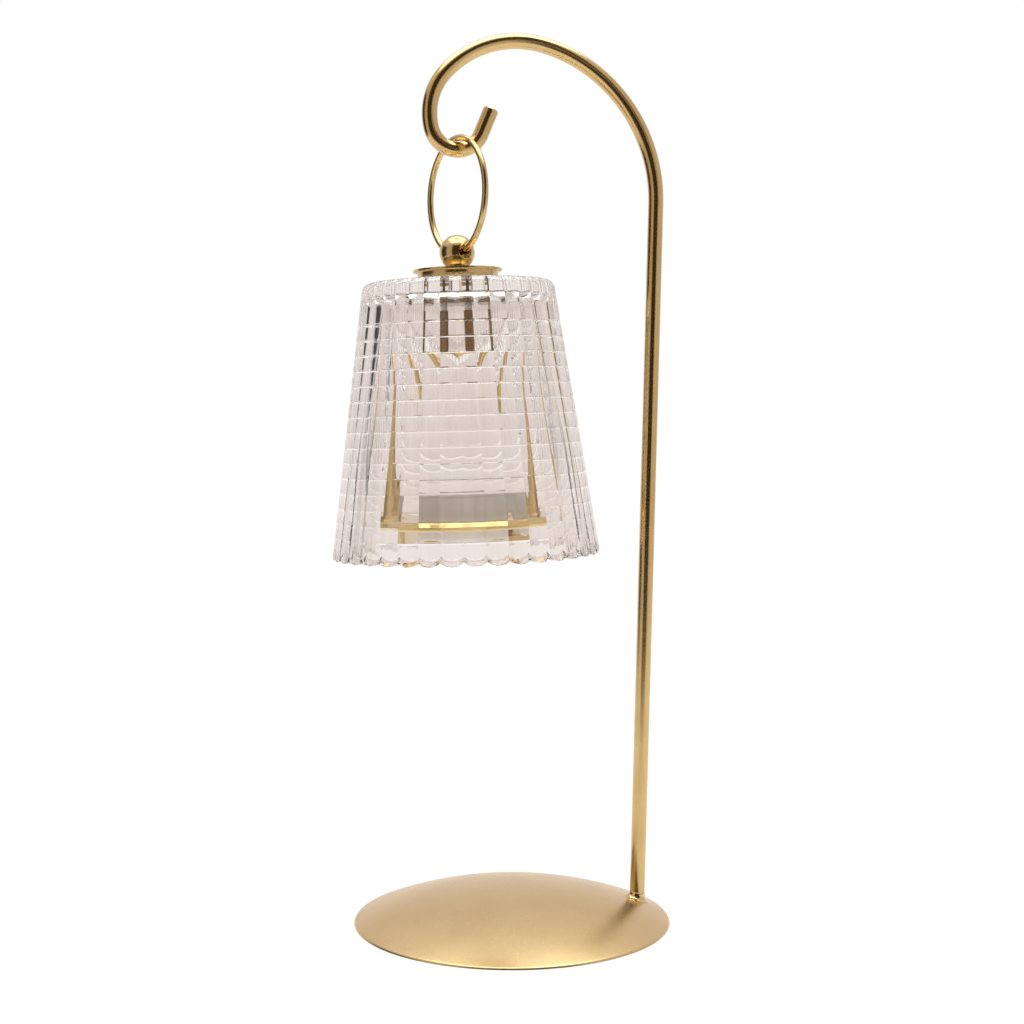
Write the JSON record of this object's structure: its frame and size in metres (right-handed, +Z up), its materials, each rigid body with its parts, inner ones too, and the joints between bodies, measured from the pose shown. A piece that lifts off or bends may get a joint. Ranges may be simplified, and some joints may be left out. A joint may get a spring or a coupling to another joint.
{
  "type": "table lamp",
  "caption": "Hanging tealight table lamp: a domed base and bent rod crook carry a fluted glass lantern on a ring.",
  "frame": {"origin": "on the table under the middle of the round base", "axes": "+Z up; the crook lies in the XZ plane, with the stem at +X and the lantern at -X"},
  "size_m": [0.117, 0.11, 0.3061],
  "materials": {
    "satin_gold_steel": "satin gold lacquer on steel",
    "satin_gold_brass": "satin brushed brass",
    "braze": "lacquered braze",
    "clear_glass": "clear pressed glass",
    "clear_plastic": "clear soft plastic",
    "zinc_steel": "plated steel",
    "cup_aluminium": "thin drawn aluminium",
    "paraffin": "white wax",
    "cotton": "waxed cotton"
  },
  "bodies": {
    "stand": {"base_dome": "satin_gold_steel", "crook_rod": "satin_gold_steel", "foot_braze": "braze"},
    "ring": {"hanging_ring": "satin_gold_brass"},
    "lantern": {"drilled_ball": "satin_gold_brass", "cap_disc": "satin_gold_brass", "cap_grommet": "clear_plastic", "threaded_stud": "zinc_steel", "glass_shade": "clear_glass", "inner_gasket": "clear_plastic", "inner_washer": "satin_gold_brass", "inner_nut": "zinc_steel", "drop_tube": "satin_gold_brass", "bail_wire": "satin_gold_brass", "bail_beads": "braze", "candle_plate": "satin_gold_brass", "cradle_strap": "satin_gold_brass"},
    "tealight": {"tealight_cup": "cup_aluminium", "tealight_wax": "paraffin", "wick": "cotton", "wick_tab": "zinc_steel"}
  },
  "joints": [
    {"name": "ring_swing", "type": "hinge", "parent": "stand", "child": "ring", "pos_m": [-0.01927, 0, 0.2659], "axis": [1, 0, 0], "range_deg": [-40, 40]},
    {"name": "lantern_swing", "type": "hinge", "parent": "ring", "child": "lantern", "pos_m": [-0.01927, 0, 0.23125], "axis": [-0.2756, 0.9613, 0], "range_deg": [-9, 30]},
    {"name": "tealight_lift", "type": "slide", "parent": "lantern", "child": "tealight", "axis": [-0.0297, 0, 0.9996], "range_m": [0, 0.03]}
  ]
}
